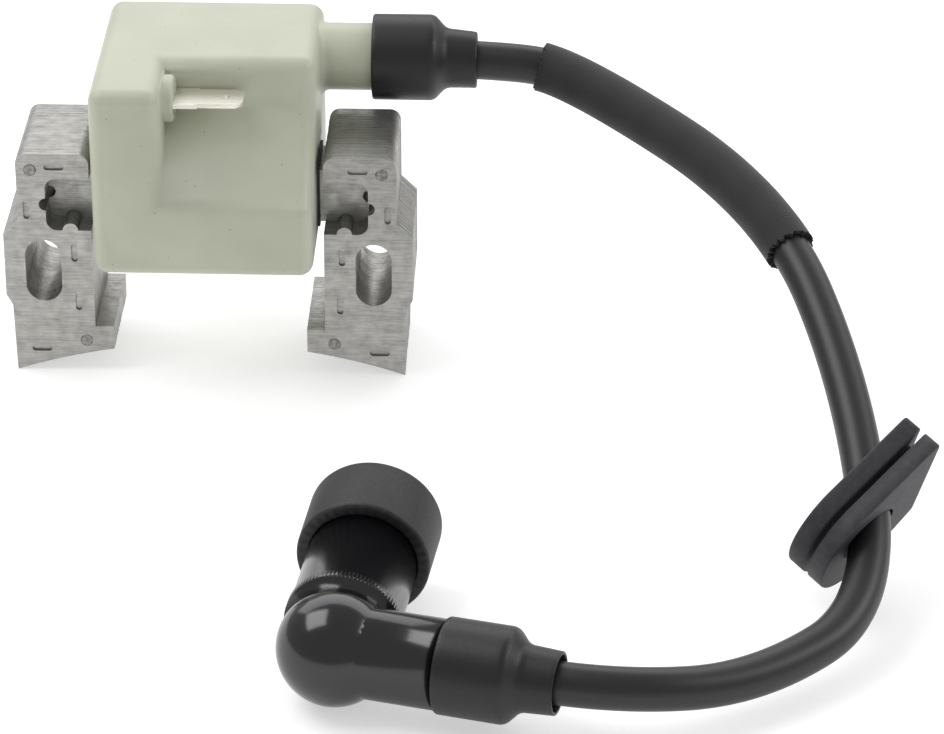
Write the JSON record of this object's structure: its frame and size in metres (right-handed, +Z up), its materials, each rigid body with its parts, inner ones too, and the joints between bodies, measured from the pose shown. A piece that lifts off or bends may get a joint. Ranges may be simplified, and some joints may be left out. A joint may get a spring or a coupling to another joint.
{
  "type": "ignition coil",
  "caption": "Flywheel ignition coil: moulded case on a laminated two-leg core, spade terminal, and a high-tension lead with sleeve, grommet and swivelling plug cap.",
  "frame": {"origin": "on the surface under the leg tips, midway between the legs and midway through the lamination stack", "axes": "+X from the left leg to the right leg towards the lead's tower, +Y from the front face to the back, +Z up from the leg tips"},
  "size_m": [0.1625, 0.1543, 0.0604],
  "materials": {
    "lamination_steel": "blanked electrical steel, brushed edges, light oil film",
    "rivet_steel": "plain steel rivet heads",
    "case_resin": "glass-filled moulded resin, satin",
    "potting_resin": "cast epoxy",
    "bobbin_plastic": "black moulded bobbin",
    "copper_wire": "enamelled copper wire",
    "board": "solder-masked laminate",
    "component": "moulded component bodies",
    "tinned_brass": "tin-plated brass",
    "brass": "plain brass",
    "lead_rubber": "extruded rubber, satin",
    "woven_sleeve": "woven glass-fibre sleeve, varnished black",
    "boot_rubber": "moulded rubber, satin",
    "grommet_rubber": "moulded rubber, matt",
    "cap_phenolic": "black phenolic, glossy",
    "spring_steel": "spring steel"
  },
  "bodies": {
    "coil": {"core_leg_left": "lamination_steel", "core_leg_right": "lamination_steel", "core_bar": "lamination_steel", "rivet_left_upper": "rivet_steel", "rivet_left_lower": "rivet_steel", "rivet_right_upper": "rivet_steel", "rivet_right_lower": "rivet_steel", "kill_terminal": "tinned_brass", "ht_pin": "brass", "igniter_board": "board", "power_transistor": "component", "controller_chip": "component", "board_resistor": "component", "board_capacitor": "component", "earth_strap": "copper_wire", "coil_case": "case_resin", "potting": "potting_resin", "primary_bobbin": "bobbin_plastic", "primary_winding": "copper_wire", "secondary_bobbin": "bobbin_plastic", "secondary_winding": "copper_wire", "lead_jacket": "lead_rubber", "lead_conductor": "copper_wire", "lead_sleeve": "woven_sleeve"},
    "tower_boot": {"tower_boot": "boot_rubber"},
    "grommet": {"grommet": "grommet_rubber"},
    "cap": {"cap_body": "cap_phenolic", "plug_seal": "boot_rubber", "lead_screw": "brass", "cap_resistor": "component", "resistor_spring": "spring_steel", "plug_terminal": "brass", "retaining_clip": "spring_steel"},
    "cap_boot": {"cap_boot": "boot_rubber"}
  },
  "joints": [
    {"name": "tower_boot_slide", "type": "slide", "parent": "coil", "child": "tower_boot", "axis": [1, 0, 0], "range_m": [0, 0.003]},
    {"name": "grommet_slide", "type": "slide", "parent": "coil", "child": "grommet", "axis": [-0.0188, -0.9198, -0.3919], "range_m": [-0.002, 0.002]},
    {"name": "cap_swivel", "type": "hinge", "parent": "coil", "child": "cap", "pos_m": [0.029, -0.1182, 0.0095], "axis": [0.9681, -0.2504, 0], "range_deg": [0, 172]},
    {"name": "cap_boot_slide", "type": "slide", "parent": "cap", "child": "cap_boot", "axis": [0.9681, -0.2504, 0], "range_m": [0, 0.002]}
  ]
}
